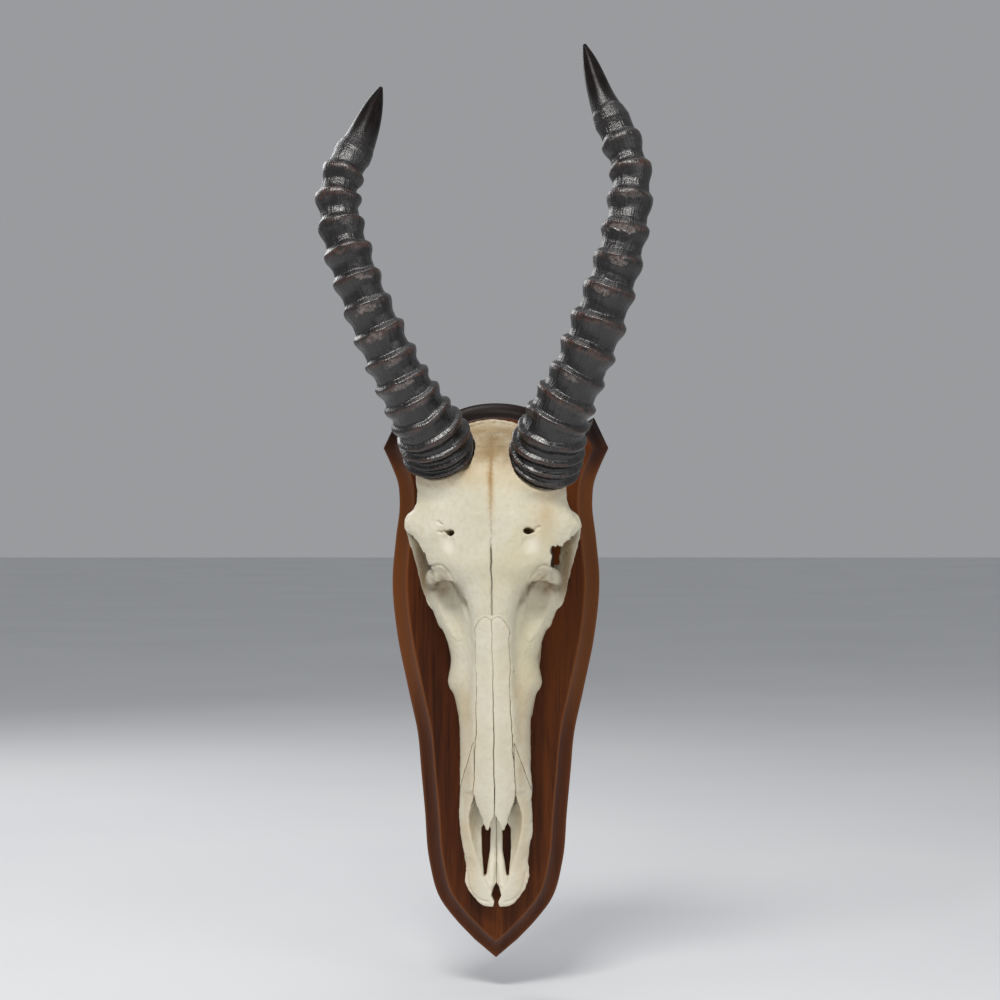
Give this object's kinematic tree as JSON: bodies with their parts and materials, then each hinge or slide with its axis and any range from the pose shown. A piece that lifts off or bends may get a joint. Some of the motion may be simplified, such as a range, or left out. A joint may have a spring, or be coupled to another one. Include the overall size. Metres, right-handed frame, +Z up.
{
  "type": "topi skull wall mount",
  "caption": "Topi skull with ringed horns, shown without its lower jaw and fixed flat on a shaped wooden shield plaque for a wall.",
  "frame": {"origin": "on the plaque's flat back face, in the middle of its width and height", "axes": "+Z up the plaque towards the horn tips, +Y into the wall, +X to the viewer's right; the skull faces -Y"},
  "size_m": [0.2678, 0.1663, 0.7549],
  "materials": {
    "wood": "reddish-brown stained hardwood, satin varnish, grain along the height, darker moulded edge",
    "bone": "clean dry bone, cream with ochre stains in the seams and hollows, faint satin on the forehead",
    "horn": "near-black polished horn sheath with rubbed brown ring crests, pale worn patches and fine lengthwise striation"
  },
  "bodies": {
    "root": {"plaque": "wood", "skull": "bone", "nasal_left": "bone", "nasal_right": "bone", "premaxilla_left": "bone", "premaxilla_right": "bone", "horn_left": "horn", "horn_right": "horn"}
  },
  "joints": []
}
